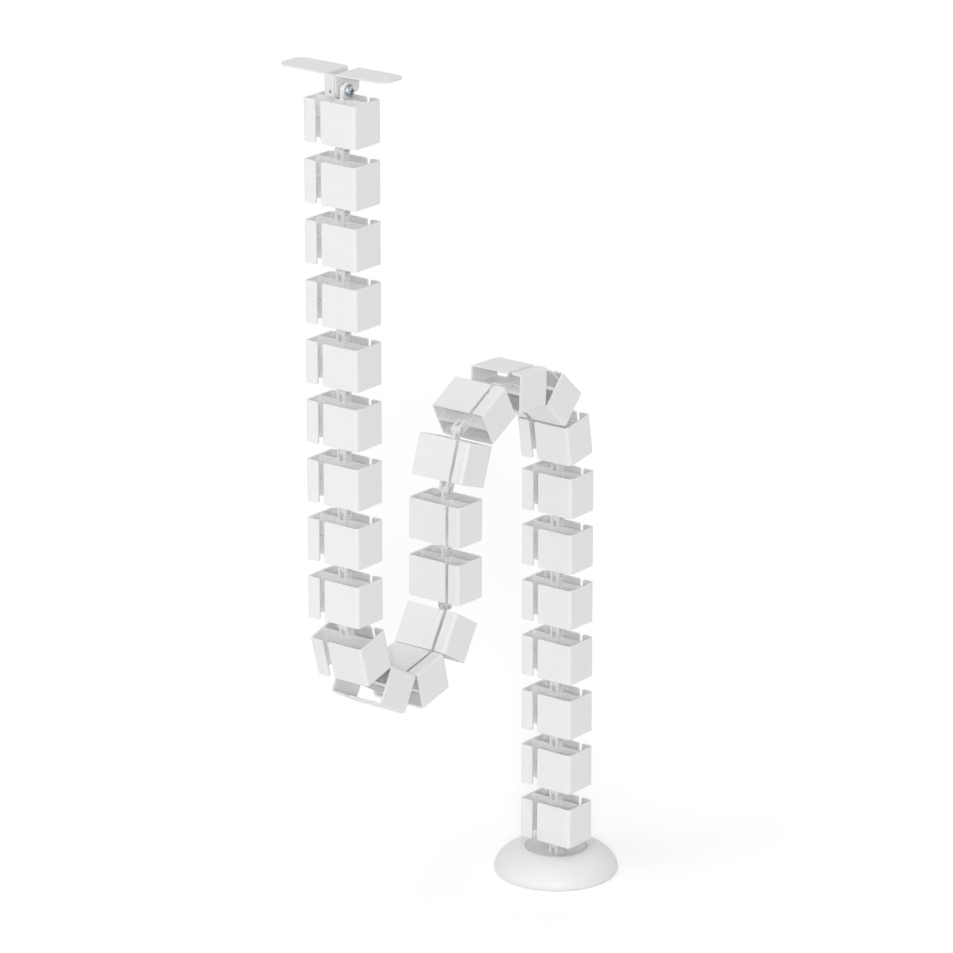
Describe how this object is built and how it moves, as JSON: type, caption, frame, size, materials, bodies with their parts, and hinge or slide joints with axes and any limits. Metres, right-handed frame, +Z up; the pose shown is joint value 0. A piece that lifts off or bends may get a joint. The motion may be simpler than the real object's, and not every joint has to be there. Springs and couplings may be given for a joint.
{
  "type": "cable organizer",
  "caption": "Cable organizer for a height-adjustable desk: a chain of hinged moulded links with slots for cables, between screw-on angle plates and a weighted round foot.",
  "frame": {"origin": "in the plane of the desk's underside, where the mounting plates' tops meet it, straight above the top hinge axis and in the middle of the links' width", "axes": "+Z up, +X along every hinge axis, +Y the way the folded chain runs from the desk hinge to the foot"},
  "size_m": [0.1098, 0.3446, 0.738],
  "materials": {
    "white_plastic": "satin white moulded plastic, lightly textured",
    "white_paint": "white powder coat on steel sheet",
    "zinc_steel": "bright zinc plate",
    "weight_steel": "plain dark steel, hidden inside the foot",
    "pad_rubber": "black non-slip rubber"
  },
  "bodies": {
    "desk_bracket": {"clamp_nut": "zinc_steel", "clamp_screw": "zinc_steel", "clamp_spacer": "zinc_steel", "clamp_washer": "white_plastic", "mounting_plate_left": "white_paint", "mounting_plate_right": "white_paint"},
    "link_01": {"vertebra_01": "white_plastic"},
    "link_02": {"vertebra_02": "white_plastic"},
    "link_03": {"vertebra_03": "white_plastic"},
    "link_04": {"vertebra_04": "white_plastic"},
    "link_05": {"vertebra_05": "white_plastic"},
    "link_06": {"vertebra_06": "white_plastic"},
    "link_07": {"vertebra_07": "white_plastic"},
    "link_08": {"vertebra_08": "white_plastic"},
    "link_09": {"vertebra_09": "white_plastic"},
    "link_10": {"vertebra_10": "white_plastic"},
    "link_11": {"vertebra_11": "white_plastic"},
    "link_12": {"vertebra_12": "white_plastic"},
    "link_13": {"vertebra_13": "white_plastic"},
    "link_14": {"vertebra_14": "white_plastic"},
    "link_15": {"vertebra_15": "white_plastic"},
    "link_16": {"vertebra_16": "white_plastic"},
    "link_17": {"vertebra_17": "white_plastic"},
    "link_18": {"vertebra_18": "white_plastic"},
    "link_19": {"vertebra_19": "white_plastic"},
    "link_20": {"vertebra_20": "white_plastic"},
    "link_21": {"vertebra_21": "white_plastic"},
    "link_22": {"vertebra_22": "white_plastic"},
    "link_23": {"vertebra_23": "white_plastic"},
    "link_24": {"vertebra_24": "white_plastic"},
    "link_25": {"vertebra_25": "white_plastic"},
    "link_26": {"vertebra_26": "white_plastic"},
    "link_27": {"vertebra_27": "white_plastic"},
    "foot": {"foot_pad": "pad_rubber", "foot_screw_1": "zinc_steel", "foot_screw_2": "zinc_steel", "foot_screw_3": "zinc_steel", "foot_shell": "white_plastic", "foot_weight": "weight_steel"}
  },
  "joints": [
    {"name": "bracket_hinge", "type": "hinge", "parent": "desk_bracket", "child": "link_01", "pos_m": [0, 0, -0.013], "axis": [1, 0, 0], "range_deg": [-11, 4.5]},
    {"name": "hinge_01_02", "type": "hinge", "parent": "link_01", "child": "link_02", "pos_m": [0, 0, -0.06101], "axis": [-1, 0, 0], "range_deg": [-46, 46]},
    {"name": "hinge_02_03", "type": "hinge", "parent": "link_02", "child": "link_03", "pos_m": [0, 0, -0.10901], "axis": [1, 0, 0], "range_deg": [-46, 46]},
    {"name": "hinge_03_04", "type": "hinge", "parent": "link_03", "child": "link_04", "pos_m": [0, 0, -0.15702], "axis": [-1, 0, 0], "range_deg": [-46, 46]},
    {"name": "hinge_04_05", "type": "hinge", "parent": "link_04", "child": "link_05", "pos_m": [0, 0, -0.20503], "axis": [1, 0, 0], "range_deg": [-46, 46]},
    {"name": "hinge_05_06", "type": "hinge", "parent": "link_05", "child": "link_06", "pos_m": [0, 0, -0.25304], "axis": [-1, 0, 0], "range_deg": [-46, 46]},
    {"name": "hinge_06_07", "type": "hinge", "parent": "link_06", "child": "link_07", "pos_m": [0, 0, -0.30104], "axis": [1, 0, 0], "range_deg": [-46, 46]},
    {"name": "hinge_07_08", "type": "hinge", "parent": "link_07", "child": "link_08", "pos_m": [0, 0, -0.34905], "axis": [-1, 0, 0], "range_deg": [-46, 46]},
    {"name": "hinge_08_09", "type": "hinge", "parent": "link_08", "child": "link_09", "pos_m": [0, 0, -0.39706], "axis": [1, 0, 0], "range_deg": [-46, 46]},
    {"name": "hinge_09_10", "type": "hinge", "parent": "link_09", "child": "link_10", "pos_m": [0, 0, -0.44507], "axis": [-1, 0, 0], "range_deg": [-30, 62]},
    {"name": "hinge_10_11", "type": "hinge", "parent": "link_10", "child": "link_11", "pos_m": [0, 0.01323, -0.49121], "axis": [1, 0, 0], "range_deg": [-91.5, 0.5]},
    {"name": "hinge_11_12", "type": "hinge", "parent": "link_11", "child": "link_12", "pos_m": [0, 0.05542, -0.51412], "axis": [-1, 0, 0], "range_deg": [-4, 88]},
    {"name": "hinge_12_13", "type": "hinge", "parent": "link_12", "child": "link_13", "pos_m": [0, 0.1021, -0.50291], "axis": [1, 0, 0], "range_deg": [-91.5, 0.5]},
    {"name": "hinge_13_14", "type": "hinge", "parent": "link_13", "child": "link_14", "pos_m": [0, 0.12683, -0.46176], "axis": [-1, 0, 0], "range_deg": [-15.5, 76.5]},
    {"name": "hinge_14_15", "type": "hinge", "parent": "link_14", "child": "link_15", "pos_m": [0, 0.12725, -0.41376], "axis": [1, 0, 0], "range_deg": [-46, 46]},
    {"name": "hinge_15_16", "type": "hinge", "parent": "link_15", "child": "link_16", "pos_m": [0, 0.12767, -0.36575], "axis": [-1, 0, 0], "range_deg": [-64.5, 27.5]},
    {"name": "hinge_16_17", "type": "hinge", "parent": "link_16", "child": "link_17", "pos_m": [0, 0.1433, -0.32036], "axis": [1, 0, 0], "range_deg": [-3, 89]},
    {"name": "hinge_17_18", "type": "hinge", "parent": "link_17", "child": "link_18", "pos_m": [0, 0.18568, -0.29782], "axis": [-1, 0, 0], "range_deg": [-77, 15]},
    {"name": "hinge_18_19", "type": "hinge", "parent": "link_18", "child": "link_19", "pos_m": [0, 0.23363, -0.30033], "axis": [1, 0, 0], "range_deg": [-6.5, 85.5]},
    {"name": "hinge_19_20", "type": "hinge", "parent": "link_19", "child": "link_20", "pos_m": [0, 0.26902, -0.33277], "axis": [-1, 0, 0], "range_deg": [-84.5, 7.5]},
    {"name": "hinge_20_21", "type": "hinge", "parent": "link_20", "child": "link_21", "pos_m": [0, 0.27653, -0.38018], "axis": [1, 0, 0], "range_deg": [-37, 55]},
    {"name": "hinge_21_22", "type": "hinge", "parent": "link_21", "child": "link_22", "pos_m": [0, 0.27653, -0.42819], "axis": [-1, 0, 0], "range_deg": [-46, 46]},
    {"name": "hinge_22_23", "type": "hinge", "parent": "link_22", "child": "link_23", "pos_m": [0, 0.27653, -0.4762], "axis": [1, 0, 0], "range_deg": [-46, 46]},
    {"name": "hinge_23_24", "type": "hinge", "parent": "link_23", "child": "link_24", "pos_m": [0, 0.27653, -0.52421], "axis": [-1, 0, 0], "range_deg": [-46, 46]},
    {"name": "hinge_24_25", "type": "hinge", "parent": "link_24", "child": "link_25", "pos_m": [0, 0.27653, -0.57221], "axis": [1, 0, 0], "range_deg": [-46, 46]},
    {"name": "hinge_25_26", "type": "hinge", "parent": "link_25", "child": "link_26", "pos_m": [0, 0.27653, -0.62022], "axis": [-1, 0, 0], "range_deg": [-46, 46]},
    {"name": "hinge_26_27", "type": "hinge", "parent": "link_26", "child": "link_27", "pos_m": [0, 0.27653, -0.66823], "axis": [1, 0, 0], "range_deg": [-46, 46]},
    {"name": "foot_hinge", "type": "hinge", "parent": "link_27", "child": "foot", "pos_m": [0, 0.27653, -0.71624], "axis": [-1, 0, 0], "range_deg": [-23, 23]}
  ]
}
